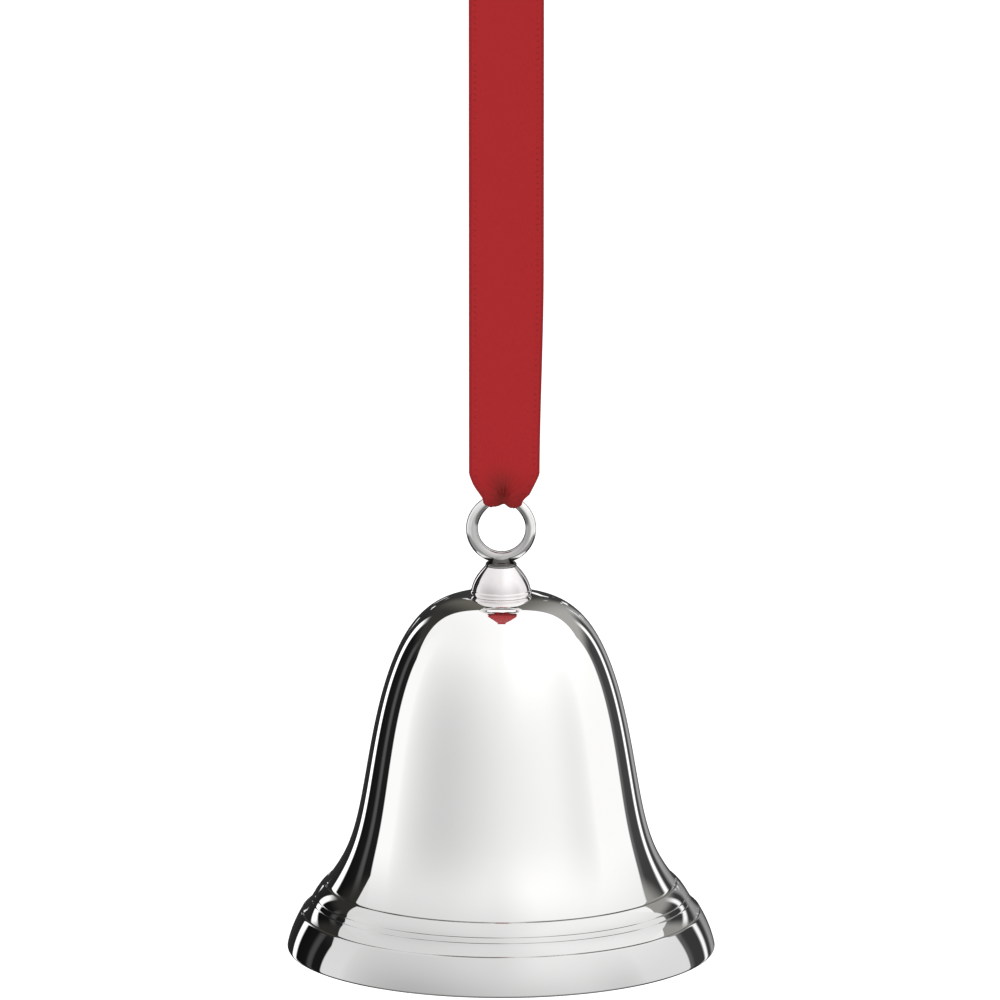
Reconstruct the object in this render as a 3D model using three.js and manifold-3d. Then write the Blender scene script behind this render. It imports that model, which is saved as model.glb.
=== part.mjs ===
// Christmas bell ornament: a polished, spun silver-plate bell on a cast hanging ring, with a satin ribbon
// looped through the ring and a small clapper inside. Millimetres, +Z up, the ring's plane facing -Y.
// Heights in this file are measured from the bell's rim. The finished group is lowered so that its origin
// is the point under the top of the ribbon loop where a hook carries the ornament.
import * as THREE from "three";
import { mergeVertices } from "three/addons/utils/BufferGeometryUtils.js";
import Module from "manifold-3d";

const wasm = await Module();
wasm.setup();

// ---- Driving dimensions ----
const clearance = 0.3; // between pieces that touch on the real ornament
const roundSides = 40; // facets round the bell
const smallSides = 20; // facets round knob, washer and clapper ball
const wireSides = 10; // facets round a wire

// Bell
const mouthRadius = 29.1;
const waistRadius = 19.5;
const waistHeight = 18.5;
const shoulderRadius = 15.36;
const shoulderHeight = 37.95;
const crownRadius = 4.1;
const crownHeight = 48.9;
const wall = 1.0;
const rimWidth = 0.95; // the flat ring that the bell would stand on

// Hanging ring, knob and shank
const ringRadius = 4.0; // to the middle of the wire
const ringWire = 0.76;
const ringHeight = 58.08;
const neckRadius = 2.1;
const neckHeight = 53.0;
const shankRadius = 1.0;
const boreRadius = shankRadius + clearance;
const knobRadius = 4.1;

// Inside the crown
const washerRadius = 3.0;
const washerThickness = 0.5;
const nutAcrossFlats = 4.0;
const nutThickness = 1.6;
const eyeCapRadius = 2.0;
const eyeCapHeight = 2.0;
const eyeRadius = 1.5;
const eyeWire = 0.4;

// Clapper
const jumpRingRadius = 1.6;
const jumpRingWire = 0.35;
const stemLoopRadius = 1.3;
const stemLoopWire = 0.35;
const stemRadius = 0.5;
const ballRadius = 3.8;
const ballHeight = 7.0;
const headRadius = 1.2;
const headThickness = 0.6;

// Ribbon
const ribbonWidth = 10.0;
const ribbonThickness = 0.4;
const strandSpacing = 0.75; // from the middle plane to the middle of each strand
const pinchRadius = 2.7; // kept free round the ring's top wire, so that the fold can turn under the strands
const pinchHeight = 1.4; // over which each strand narrows towards the fold
const pinchWidth = 7.4;
const foldHalfAngle = THREE.MathUtils.degToRad(38);
const foldThickness = 0.45;
const strandTop = 131.9;
const seamHeight = 4.3;
const loopRadius = 3.6;
const loopHeight = 144.0;
const loopThickness = 0.6;
const stitchWidth = 7.0;
const stitchHeight = 2.4;
const stitchThickness = 0.3;

// ---- Heights that follow from them ----
const wireHeight = ringHeight + ringRadius;
const knobBase = crownHeight + clearance;
const knobTop = neckHeight - clearance;
const washerTop = crownHeight - wall - clearance;
const nutTop = washerTop - washerThickness - clearance;
const eyeCapTop = nutTop - nutThickness - clearance;
const shankEnd = eyeCapTop - 1.1;
const eyeHeight = eyeCapTop - eyeCapHeight - eyeRadius - 0.1;
const eyePivot = eyeHeight - eyeRadius;
const jumpRingHeight = eyePivot + eyeWire + jumpRingWire + clearance - jumpRingRadius;
const clapperPivot = jumpRingHeight - jumpRingRadius;
const stemLoopHeight = clapperPivot + jumpRingWire + stemLoopWire + clearance - stemLoopRadius;
const strandBottom = wireHeight + pinchRadius;
const seamBottom = strandTop + clearance;
const hangHeight = loopHeight + loopRadius;

// ---- Materials ----
const silver = new THREE.MeshStandardMaterial({ color: 0xe9e9e6, roughness: 0.08, metalness: 1 });
const steel = new THREE.MeshStandardMaterial({ color: 0xb9bbbd, roughness: 0.3, metalness: 1 });
const satin = new THREE.MeshStandardMaterial({ color: 0xa52a2b, roughness: 0.55, metalness: 0 });
const thread = new THREE.MeshStandardMaterial({ color: 0x7d1c20, roughness: 0.8, metalness: 0 });

// ---- Shape helpers ----
const at = (x, y) => new THREE.Vector2(x, y);
const line = (a, b) => new THREE.LineCurve(a, b);
const bend = (a, b, c) => new THREE.QuadraticBezierCurve(a, b, c);
const sweep = (a, b, c, d) => new THREE.CubicBezierCurve(a, b, c, d);

// The points along [curve, divisions] pairs that follow each other, each shared end once.
function along(...pieces) {
  const points = pieces.flatMap(([curve, divisions]) => curve.getPoints(divisions).slice(0, -1));
  const [last] = pieces.at(-1);
  return [...points, last.getPoint(1)];
}

// A profile of (radius, height) turned round the Z axis.
function turned(points, sides) {
  return new THREE.LatheGeometry(points, sides).rotateX(Math.PI / 2);
}

// A closed profile turned round the Z axis, for a piece with a hole through it.
function turnedRing(points, sides) {
  return turned([...points, points[0]], sides);
}

// A solid rod or disc along Z.
function rod(radius, bottom, top, sides = smallSides) {
  const height = top - bottom;
  return new THREE.CylinderGeometry(radius, radius, height, sides)
    .rotateX(Math.PI / 2)
    .translate(0, 0, bottom + height / 2);
}

// A wire ring whose axis lies along Y, or along X when it is turned.
function wireRing(radius, wire, height, alongX = false, steps = 32) {
  const ring = new THREE.TorusGeometry(radius, wire, wireSides, steps).rotateX(Math.PI / 2);
  return (alongX ? ring.rotateZ(Math.PI / 2) : ring).translate(0, 0, height);
}

// An outline in the plane across an axis, extruded evenly to both sides of it.
function slab(shape, depth, curveSegments = 12) {
  return new THREE.ExtrudeGeometry(shape, { depth, bevelEnabled: false, curveSegments })
    .translate(0, 0, -depth / 2);
}

// ---- Joining and cutting ----
function solidOf(geometry) {
  const bare = geometry.clone();
  bare.deleteAttribute("normal");
  bare.deleteAttribute("uv");
  const merged = mergeVertices(bare, 1e-4);
  return new wasm.Manifold(
    new wasm.Mesh({
      numProp: 3,
      vertProperties: merged.attributes.position.array,
      triVerts: new Uint32Array(merged.index.array),
    }),
  );
}

function geometryOf(solid) {
  const mesh = solid.getMesh();
  const geometry = new THREE.BufferGeometry();
  geometry.setAttribute("position", new THREE.BufferAttribute(mesh.vertProperties, 3));
  geometry.setIndex(new THREE.BufferAttribute(mesh.triVerts, 1));
  geometry.computeVertexNormals();
  return geometry;
}

function joined(...geometries) {
  return geometryOf(geometries.map(solidOf).reduce((all, next) => all.add(next)));
}

function cut(geometry, ...tools) {
  return geometryOf(tools.map(solidOf).reduce((left, tool) => left.subtract(tool), solidOf(geometry)));
}

// ---- The bell ----

// Outside of the shell: rim edge, flared lip, shallow cove, fillet and bead, then the concave sweep to the
// waist and the domed shoulder. The moulding is low: it follows the flare and only ripples its surface.
function shellOutside() {
  const lipBottom = at(mouthRadius, 0.3);
  const lipTop = at(27.15, 5.1);
  const coveBottom = at(27.0, 5.14);
  const coveTop = at(25.78, 6.68);
  const filletBottom = at(25.72, 6.72);
  const filletTop = at(25.38, 7.36);
  const beadBottom = at(25.3, 7.42);
  const beadTop = at(23.95, 9.05);
  const sweepStart = at(23.74, 9.13);
  const waist = at(waistRadius, waistHeight);
  const shoulder = at(shoulderRadius, shoulderHeight);
  const crown = at(crownRadius, crownHeight);
  return along(
    [bend(at(mouthRadius - 0.25, 0), at(mouthRadius, 0), lipBottom), 2],
    [bend(lipBottom, at(28.65, 2.55), lipTop), 4],
    [line(lipTop, coveBottom), 1],
    [bend(coveBottom, at(26.2, 5.85), coveTop), 3],
    [line(coveTop, filletBottom), 1],
    [line(filletBottom, filletTop), 1],
    [line(filletTop, beadBottom), 1],
    [bend(beadBottom, at(24.85, 8.3), beadTop), 3],
    [line(beadTop, sweepStart), 1],
    [sweep(sweepStart, at(21.6, 12.0), at(20.5, 14.15), waist), 6],
    [sweep(waist, at(18.3, 23.7), at(17.55, 31.4), shoulder), 4],
    [sweep(shoulder, at(13.55, 43.3), at(10.8, 48.75), crown), 7],
    [line(crown, at(boreRadius, crownHeight)), 1],
  );
}

// Inside of the shell, from the crown's hole down to the rim: the wall's thickness in from the outside.
function shellInside() {
  const crown = at(crownRadius, crownHeight - wall);
  const shoulder = at(shoulderRadius - wall, shoulderHeight - 0.2);
  const waist = at(waistRadius - wall, waistHeight - 0.2);
  const bow = at(23.0, 8.6);
  const rim = at(mouthRadius - 0.25 - rimWidth, 0);
  return along(
    [line(at(boreRadius, crownHeight - wall), crown), 1],
    [sweep(crown, at(10.2, 47.8), at(12.6, 42.9), shoulder), 6],
    [sweep(shoulder, at(16.55, 31.2), at(17.3, 23.6), waist), 3],
    [sweep(waist, at(19.5, 13.9), at(21.2, 11.2), bow), 4],
    [bend(bow, at(25.4, 5.2), rim), 4],
  );
}

function bellShell() {
  return turnedRing([...shellOutside(), ...shellInside()], roundSides);
}

// A domed cone on a low foot bead, bored for the shank.
function crownKnob() {
  const foot = at(knobRadius - 0.1, knobBase + 0.55);
  const top = at(neckRadius + 0.05, knobTop);
  const outside = along(
    [bend(at(knobRadius - 0.05, knobBase), at(knobRadius + 0.15, knobBase + 0.3), foot), 4],
    [bend(foot, at(3.75, knobBase + 2.1), top), 6],
  );
  return turnedRing([...outside, at(boreRadius, knobTop), at(boreRadius, knobBase)], smallSides);
}

// The cast ring, its flared neck, and the shank that goes through knob and crown.
function hangingRing() {
  const ring = wireRing(ringRadius, ringWire, ringHeight, false, 40);
  const flareTop = at(1.3, neckHeight + 1.3);
  const flare = bend(at(neckRadius, neckHeight + 0.35), at(1.4, neckHeight + 0.5), flareTop);
  const neck = turned(
    [at(0, neckHeight), at(neckRadius, neckHeight), ...along([flare, 4]), at(0, flareTop.y)],
    smallSides,
  );
  const shank = rod(shankRadius, shankEnd, neckHeight + 0.2);
  return joined(ring, neck, shank);
}

function crownWasher() {
  const bottom = washerTop - washerThickness;
  const bore = [at(boreRadius, washerTop), at(boreRadius, bottom)];
  return turnedRing([...bore, at(washerRadius, bottom), at(washerRadius, washerTop)], smallSides);
}

function lockNut() {
  const acrossCorners = nutAcrossFlats / Math.cos(Math.PI / 6);
  const hexagon = rod(acrossCorners / 2, nutTop - nutThickness, nutTop, 6);
  const bore = rod(boreRadius, nutTop - nutThickness - 1, nutTop + 1);
  return cut(hexagon, bore);
}

// A cap that screws on the end of the shank, with the eye that carries the clapper under it.
function clapperEye() {
  const bottom = eyeCapTop - eyeCapHeight;
  const cap = rod(eyeCapRadius, bottom, eyeCapTop);
  const eye = wireRing(eyeRadius, eyeWire, eyeHeight, false, 24);
  const socket = rod(boreRadius, shankEnd - clearance, eyeCapTop + 1);
  return cut(joined(cap, eye), socket);
}

// ---- The clapper ----
function jumpRing() {
  return wireRing(jumpRingRadius, jumpRingWire, jumpRingHeight, true, 24);
}

// A wire loop, a straight stem through the ball, and the upset head that keeps the ball on.
function clapperStem() {
  const loop = wireRing(stemLoopRadius, stemLoopWire, stemLoopHeight, false, 24);
  const loopBottom = stemLoopHeight - stemLoopRadius;
  const headTop = ballHeight - ballRadius - clearance;
  const stem = rod(stemRadius, headTop - 0.2, loopBottom + 0.1, wireSides);
  const headBottom = headTop - headThickness;
  const headEdge = at(headRadius, headTop);
  const headCurve = bend(at(headRadius / 2, headBottom), at(headRadius, headBottom), headEdge);
  const head = turned([at(0, headBottom), ...along([headCurve, 3]), at(0, headTop)], smallSides);
  return joined(loop, stem, head);
}

function clapperBall() {
  const ball = new THREE.SphereGeometry(ballRadius, 24, 16)
    .rotateX(Math.PI / 2)
    .translate(0, 0, ballHeight);
  const bore = rod(stemRadius + clearance, ballHeight - ballRadius - 1, ballHeight + ballRadius + 1);
  return cut(ball, bore);
}

// ---- The ribbon ----

// One flat strand, in front of the middle plane (side -1) or behind it (side 1), narrowed at its lower end.
function ribbonStrand(side) {
  const outline = new THREE.Shape([
    at(-pinchWidth / 2, strandBottom),
    at(pinchWidth / 2, strandBottom),
    at(ribbonWidth / 2, strandBottom + pinchHeight),
    at(ribbonWidth / 2, strandTop),
    at(-ribbonWidth / 2, strandTop),
    at(-ribbonWidth / 2, strandBottom + pinchHeight),
  ]);
  return slab(outline, ribbonThickness).rotateX(Math.PI / 2).translate(0, side * strandSpacing, 0);
}

// The fold under the ring's top wire, open above, with room for the ring to slide and turn in it.
function ribbonBight() {
  const room = ringWire + clearance;
  const section = new THREE.Shape().absarc(0, 0, room + foldThickness, 0, 2 * Math.PI);
  const sleeve = new THREE.ExtrudeGeometry(section, {
    steps: 10,
    bevelEnabled: false,
    curveSegments: 16,
    extrudePath: new RingTop(),
  });
  const passage = wireRing(ringRadius, room, ringHeight, false, 48);
  const openTop = new THREE.BoxGeometry(ribbonWidth, 2 * room, 2 * room).translate(0, 0, wireHeight + room);
  return cut(sleeve, passage, openTop);
}

// The stretch of the ring's centre line that the ribbon wraps.
class RingTop extends THREE.Curve {
  getPoint(t, target = new THREE.Vector3()) {
    const angle = (2 * t - 1) * foldHalfAngle;
    return target.set(ringRadius * Math.sin(angle), 0, ringHeight + ringRadius * Math.cos(angle));
  }
}

// The closed loop at the top, a teardrop seen from the side: sewn together, then open round the hook.
function ribbonTopLoop() {
  const outer = loopRadius + loopThickness;
  const neck = strandSpacing + ribbonThickness / 2;
  const seamTop = seamBottom + seamHeight;
  const drop = new THREE.Shape()
    .moveTo(neck, seamBottom)
    .lineTo(neck, seamTop)
    .bezierCurveTo(neck + 0.2, seamTop + 2.5, outer, loopHeight - 4, outer, loopHeight)
    .absarc(0, loopHeight, outer, 0, Math.PI)
    .bezierCurveTo(-outer, loopHeight - 4, -neck - 0.2, seamTop + 2.5, -neck, seamTop)
    .lineTo(-neck, seamBottom);
  const eye = new THREE.Path()
    .moveTo(0, seamTop + 1.2)
    .bezierCurveTo(1.2, seamTop + 3, loopRadius, loopHeight - 3.6, loopRadius, loopHeight)
    .absarc(0, loopHeight, loopRadius, 0, Math.PI)
    .bezierCurveTo(-loopRadius, loopHeight - 3.6, -1.2, seamTop + 3, 0, seamTop + 1.2);
  drop.holes.push(eye);
  return slab(drop, ribbonWidth, 8).rotateX(Math.PI / 2).rotateZ(Math.PI / 2);
}

// The bar of stitches that closes the loop, on the seam's front.
function ribbonStitching() {
  const front = -(strandSpacing + ribbonThickness / 2 + clearance);
  return new THREE.BoxGeometry(stitchWidth, stitchThickness, stitchHeight)
    .translate(0, front - stitchThickness / 2, seamBottom + seamHeight / 2);
}

// ---- Assembly ----
function piece(name, geometry, material) {
  const mesh = new THREE.Mesh(geometry, material);
  mesh.name = name;
  return mesh;
}

function assembly(...pieces) {
  return new THREE.Group().add(...pieces);
}

const ribbon = assembly(
  piece("ribbon_top_loop", ribbonTopLoop(), satin),
  piece("ribbon_stitching", ribbonStitching(), thread),
  piece("ribbon_front_strand", ribbonStrand(-1), satin),
  piece("ribbon_back_strand", ribbonStrand(1), satin),
  piece("ribbon_bight", ribbonBight(), satin),
);
const bell = assembly(
  piece("hanging_ring", hangingRing(), silver),
  piece("crown_knob", crownKnob(), silver),
  piece("bell_shell", bellShell(), silver),
  piece("crown_washer", crownWasher(), steel),
  piece("lock_nut", lockNut(), steel),
  piece("clapper_eye", clapperEye(), silver),
);
const clapper = assembly(
  piece("jump_ring", jumpRing(), silver),
  piece("clapper_stem", clapperStem(), silver),
  piece("clapper_ball", clapperBall(), silver),
);

const hung = assembly(ribbon, bell, clapper);
hung.position.z = -hangHeight;

const group = new THREE.Group();
group.add(hung);

export default group;
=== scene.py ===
"""Christmas bell ornament: the looks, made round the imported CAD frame.

Blender works in metres. Radii and heights in this script are in millimetres, heights counted up from the
bell's rim, and place() turns them into the frame's own metres.
"""

import math

import bpy
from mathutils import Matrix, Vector, noise


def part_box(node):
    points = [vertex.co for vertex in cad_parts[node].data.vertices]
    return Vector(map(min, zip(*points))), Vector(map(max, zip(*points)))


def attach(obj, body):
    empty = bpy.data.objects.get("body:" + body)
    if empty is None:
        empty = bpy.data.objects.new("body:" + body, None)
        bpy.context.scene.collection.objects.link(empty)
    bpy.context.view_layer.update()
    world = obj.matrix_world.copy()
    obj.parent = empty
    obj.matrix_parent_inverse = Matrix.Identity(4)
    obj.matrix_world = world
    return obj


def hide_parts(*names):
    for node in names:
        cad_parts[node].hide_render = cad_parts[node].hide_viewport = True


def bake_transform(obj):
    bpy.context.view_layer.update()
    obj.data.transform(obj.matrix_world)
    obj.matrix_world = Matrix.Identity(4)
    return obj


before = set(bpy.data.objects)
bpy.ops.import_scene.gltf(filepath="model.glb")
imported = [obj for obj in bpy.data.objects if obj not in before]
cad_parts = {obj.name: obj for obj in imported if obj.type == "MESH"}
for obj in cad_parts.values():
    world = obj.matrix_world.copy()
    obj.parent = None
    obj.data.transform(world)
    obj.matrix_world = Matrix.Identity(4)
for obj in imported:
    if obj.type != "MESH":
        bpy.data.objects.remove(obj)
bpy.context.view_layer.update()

MM = 0.001

# ---- Sizes taken from the frame ----
SHELL_LOW, SHELL_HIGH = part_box("bell_shell")
RIM_Z = SHELL_LOW.z


def above_rim(z):
    return (z - RIM_Z) / MM


def place(x, y, height):
    return Vector((x * MM, y * MM, RIM_Z + height * MM))


MOUTH_RADIUS = SHELL_HIGH.x / MM
CROWN_HEIGHT = above_rim(SHELL_HIGH.z)
RING_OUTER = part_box("hanging_ring")[1].x / MM
RING_HEIGHT = above_rim(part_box("hanging_ring")[1].z) - RING_OUTER
KNOB_BASE, KNOB_TOP = (above_rim(corner.z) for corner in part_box("crown_knob"))
SHANK_END = above_rim(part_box("hanging_ring")[0].z)
WASHER_BOTTOM, WASHER_TOP = (above_rim(corner.z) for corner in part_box("crown_washer"))
NUT_BOTTOM, NUT_TOP = (above_rim(corner.z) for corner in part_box("lock_nut"))
EYE_BOTTOM, EYE_CAP_TOP = (above_rim(corner.z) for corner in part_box("clapper_eye"))
JUMP_BOTTOM, JUMP_TOP = (above_rim(corner.z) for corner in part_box("jump_ring"))
STEM_BOTTOM, STEM_TOP = (above_rim(corner.z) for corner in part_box("clapper_stem"))
BALL_BOTTOM, BALL_TOP = (above_rim(corner.z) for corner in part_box("clapper_ball"))
STRAND_TOP = above_rim(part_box("ribbon_front_strand")[1].z)
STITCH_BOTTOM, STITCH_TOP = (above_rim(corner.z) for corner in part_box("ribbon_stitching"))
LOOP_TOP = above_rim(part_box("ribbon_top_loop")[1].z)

# ---- Camera: a long lens a little above the bell ----
CAMERA_BACK = 1373.0
CAMERA_HEIGHT = 343.0
AIM_HEIGHT = 62.0
CAMERA_SIDE = -0.15
LENS = 373.5
CLIP_END = 100


def aim_at(thing, target):
    thing.rotation_euler = (target - thing.location).to_track_quat("-Z", "Y").to_euler()


def make_camera():
    data = bpy.data.cameras.new("camera")
    data.lens = LENS
    data.clip_end = CLIP_END
    camera = bpy.data.objects.new("camera", data)
    camera.location = place(CAMERA_SIDE, -CAMERA_BACK, CAMERA_HEIGHT)
    aim_at(camera, place(CAMERA_SIDE, 0, AIM_HEIGHT))
    bpy.context.scene.collection.objects.link(camera)
    bpy.context.scene.camera = camera


make_camera()


# ---- Node trees ----
class Nodes:
    """A short way to write shader nodes: most calls add one node and return what it gives."""

    def __init__(self, tree):
        self.tree = tree
        tree.nodes.clear()

    def add(self, kind, settings=None, **inputs):
        node = self.tree.nodes.new(kind)
        for name, value in (settings or {}).items():
            setattr(node, name, value)
        for name, value in inputs.items():
            self.feed(node.inputs[name.replace("_", " ")], value)
        return node

    def feed(self, socket, value):
        if isinstance(value, bpy.types.NodeSocket):
            self.tree.links.new(value, socket)
        else:
            socket.default_value = value

    def math(self, operation, first, second=0.0, third=0.0):
        node = self.add("ShaderNodeMath", {"operation": operation})
        for socket, value in zip(node.inputs, (first, second, third)):
            self.feed(socket, value)
        return node.outputs[0]

    def between(self, value, low, high, to_low=0.0, to_high=1.0):
        """value's place between low and high, eased, as a number from to_low to to_high."""
        node = self.add("ShaderNodeMapRange", {"interpolation_type": "SMOOTHSTEP"}, Value=value)
        for name, number in zip(("From Min", "From Max", "To Min", "To Max"), (low, high, to_low, to_high)):
            node.inputs[name].default_value = number
        return node.outputs[0]

    def mix(self, share, first, second):
        node = self.add("ShaderNodeMix", {"data_type": "RGBA"})
        self.feed(node.inputs["Factor"], share)
        self.feed(node.inputs[6], first)
        self.feed(node.inputs[7], second)
        return node.outputs[2]

    def ramp(self, value, stops, interpolation="LINEAR"):
        node = self.add("ShaderNodeValToRGB", Fac=value)
        node.color_ramp.interpolation = interpolation
        elements = node.color_ramp.elements
        while len(elements) < len(stops):
            elements.new(0.5)
        for element, (position, colour) in zip(elements, stops):
            element.position = position
            element.color = colour
        return node.outputs["Color"]

    def noise(self, vector, scale, detail=2.0, roughness=0.5):
        settings = {"Scale": scale, "Detail": detail, "Roughness": roughness}
        return self.add("ShaderNodeTexNoise", Vector=vector, **settings).outputs[0]

    def bump(self, height, strength, distance):
        node = self.add("ShaderNodeBump", Height=height, Strength=strength, Distance=distance)
        return node.outputs["Normal"]

    def object_place(self):
        """The point's place in the object, in metres."""
        return self.add("ShaderNodeTexCoord").outputs["Object"]

    def from_axis(self, where):
        """The point's distance from the bell's axis, in metres."""
        part = self.add("ShaderNodeSeparateXYZ", Vector=where).outputs
        squares = [self.math("POWER", part[axis], 2.0) for axis in "XY"]
        return self.math("SQRT", self.math("ADD", *squares))

    def surface(self, colour, roughness, normal, metallic=0.0):
        shader = self.add("ShaderNodeBsdfPrincipled", Metallic=metallic)
        for name, value in (("Base Color", colour), ("Roughness", roughness), ("Normal", normal)):
            self.feed(shader.inputs[name], value)
        self.add("ShaderNodeOutputMaterial", Surface=shader.outputs[0])
        return shader


def grey(level):
    return (level, level, level, 1.0)


def new_material(name):
    material = bpy.data.materials.new(name)
    material.use_nodes = True
    return material, Nodes(material.node_tree)


# ---- The studio ----
def front_glow():
    """The white tent round the camera: degrees from the camera's side, to the right, and its brightness."""
    return [
        (-180, 1.25),
        (-106, 1.25),
        (-92, 0.88),
        (-72, 0.7),
        (-54, 0.62),
        (-36, 0.65),
        (-14, 0.76),
        (4, 0.84),
        (30, 0.93),
        (48, 0.95),
        (64, 0.84),
        (78, 0.88),
        (90, 1.1),
        (100, 1.4),
        (180, 1.4),
    ]


def dark_back():
    """The unlit room behind the object, with two narrow gaps of light and a few dim shapes."""
    return [
        (-180, 0.04),
        (-152, 0.02),
        (-150.4, 0.012),
        (-149.8, 1.6),
        (-143.6, 1.6),
        (-143.0, 0.006),
        (-128.6, 0.01),
        (-127.0, 0.06),
        (-124.8, 0.09),
        (-122.8, 0.08),
        (-121.2, 0.012),
        (-100, 0.01),
        (100, 0.2),
        (124, 0.14),
        (127, 0.055),
        (140.4, 0.05),
        (141.2, 1.3),
        (145.8, 1.3),
        (146.6, 0.05),
        (152, 0.05),
        (157, 0.4),
        (164, 0.3),
        (170, 0.05),
        (180, 0.04),
    ]


def round_ramp(n, share, stops, interpolation="LINEAR"):
    return n.ramp(share, [((degrees + 180) / 360, grey(level)) for degrees, level in stops], interpolation)


def make_world():
    world = bpy.data.worlds.new("studio")
    bpy.context.scene.world = world
    world.use_nodes = True
    n = Nodes(world.node_tree)
    direction = n.add("ShaderNodeTexCoord").outputs["Generated"]
    part = n.add("ShaderNodeSeparateXYZ", Vector=direction).outputs
    right, away, up = part["X"], part["Y"], part["Z"]
    turn = n.math("ARCTAN2", right, n.math("MULTIPLY", away, -1.0))
    share = n.math("MULTIPLY_ADD", turn, 0.5 / math.pi, 0.5)
    degrees = n.math("MULTIPLY", turn, 180 / math.pi)
    tent = round_ramp(n, share, front_glow(), "B_SPLINE")
    back = round_ramp(n, share, dark_back())

    # Small bright things, straight behind the bell.
    clutter = n.noise(direction, 13.0, 1.0, 0.4)
    specks = n.between(clutter, 0.655, 0.685)
    behind = n.math("MULTIPLY", n.between(away, 0.88, 0.92), n.between(up, -0.02, 0.06))
    back = n.mix(n.math("MULTIPLY", specks, behind), back, grey(1.1))

    # Above the dark there is a dim ceiling, lighter to the right.
    ceiling = n.mix(n.between(right, -0.4, -0.05), (0.035, 0.034, 0.031, 1), (0.13, 0.126, 0.108, 1))
    ceiling = n.mix(n.between(right, 0.0, 0.45), ceiling, (0.4, 0.395, 0.38, 1))
    high = n.math("MULTIPLY", n.between(away, 0.2, 0.35), n.between(up, 0.22, 0.42))
    back = n.mix(high, back, ceiling)

    # The white canopy over the camera reaches past the zenith and hangs down over the dark room.
    canopy_tilt, canopy_edge = math.radians(31.9), -0.158
    toward = n.math("MULTIPLY", away, -math.cos(canopy_tilt))
    toward = n.math("MULTIPLY_ADD", up, math.sin(canopy_tilt), toward)
    canopy = n.between(toward, canopy_edge - 0.006, canopy_edge + 0.006)
    left_glow = n.mix(n.between(right, -0.6, -0.1), grey(0.93), grey(1.0))
    canopy_glow = n.mix(n.between(right, -0.1, 0.4), left_glow, grey(1.2))
    back = n.mix(canopy, back, canopy_glow)

    tent = n.mix(n.between(up, 0.06, 0.85), tent, canopy_glow)
    tent_left = n.between(degrees, -113.4, -112.0)
    tent_right = n.between(degrees, 120.4, 122.2, 1.0, 0.0)
    horizon = n.mix(n.math("MULTIPLY", tent_left, tent_right), back, tent)

    # The table and the room under it are darker.
    low = n.between(up, -0.42, -0.26)
    low_colour = n.mix(n.between(away, -0.4, 0.4), grey(0.3), grey(0.02))
    studio = n.mix(low, low_colour, horizon)

    seen = n.add("ShaderNodeLightPath").outputs["Is Camera Ray"]
    colour = n.mix(seen, studio, grey(1.0))
    background = n.add("ShaderNodeBackground", Color=colour, Strength=1.0)
    n.add("ShaderNodeOutputWorld", Surface=background.outputs[0])


FLOOR_BELOW_RIM = 50.0
FLOOR_HALF = 40000.0


def make_floor():
    signs = [(-1, -1), (1, -1), (1, 1), (-1, 1)]
    corners = [place(FLOOR_HALF * x, FLOOR_HALF * y, -FLOOR_BELOW_RIM) for x, y in signs]
    mesh = bpy.data.meshes.new("floor")
    mesh.from_pydata(corners, [], [(0, 1, 2, 3)])
    material, n = new_material("floor_paper")
    paper = n.noise(n.object_place(), 400.0, 3.0)
    shader = n.add("ShaderNodeBsdfPrincipled", Roughness=0.9)
    n.feed(shader.inputs["Base Color"], n.mix(paper, grey(0.78), grey(0.82)))
    shader.inputs["Specular IOR Level"].default_value = 0.0
    shader.inputs["Emission Color"].default_value = grey(1.0)
    shader.inputs["Emission Strength"].default_value = 0.5
    n.add("ShaderNodeOutputMaterial", Surface=shader.outputs[0])
    mesh.materials.append(material)
    floor = bpy.data.objects.new("floor", mesh)
    floor.visible_glossy = False
    bpy.context.scene.collection.objects.link(floor)


LAMP_PLACE = (-700, -900, 800)
LAMP_AIM_HEIGHT = 60
LAMP_SIDE = 0.9
LAMP_POWER = 6.0


def make_lights():
    """One wide soft lamp in front and above, which models the ribbon and doesn't show in the silver."""
    data = bpy.data.lights.new("soft_key", "AREA")
    data.shape = "RECTANGLE"
    data.size, data.size_y = LAMP_SIDE, LAMP_SIDE
    data.energy = LAMP_POWER
    lamp = bpy.data.objects.new("soft_key", data)
    lamp.location = place(*LAMP_PLACE)
    aim_at(lamp, place(0, 0, LAMP_AIM_HEIGHT))
    lamp.visible_glossy = False
    bpy.context.scene.collection.objects.link(lamp)


# ---- Materials ----
def height_above_rim(n, where):
    """A point's height over the rim in millimetres, from its place in the object."""
    z = n.add("ShaderNodeSeparateXYZ", Vector=where).outputs["Z"]
    return n.math("MULTIPLY_ADD", z, 1 / MM, -RIM_Z / MM)


# The creases between the lip, the cove, the fillet, the bead and the sweep, where painted shade lines run:
# height, and half width.
CREASES = ((5.12, 0.07), (6.7, 0.05), (7.39, 0.05), (9.1, 0.08))


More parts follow.
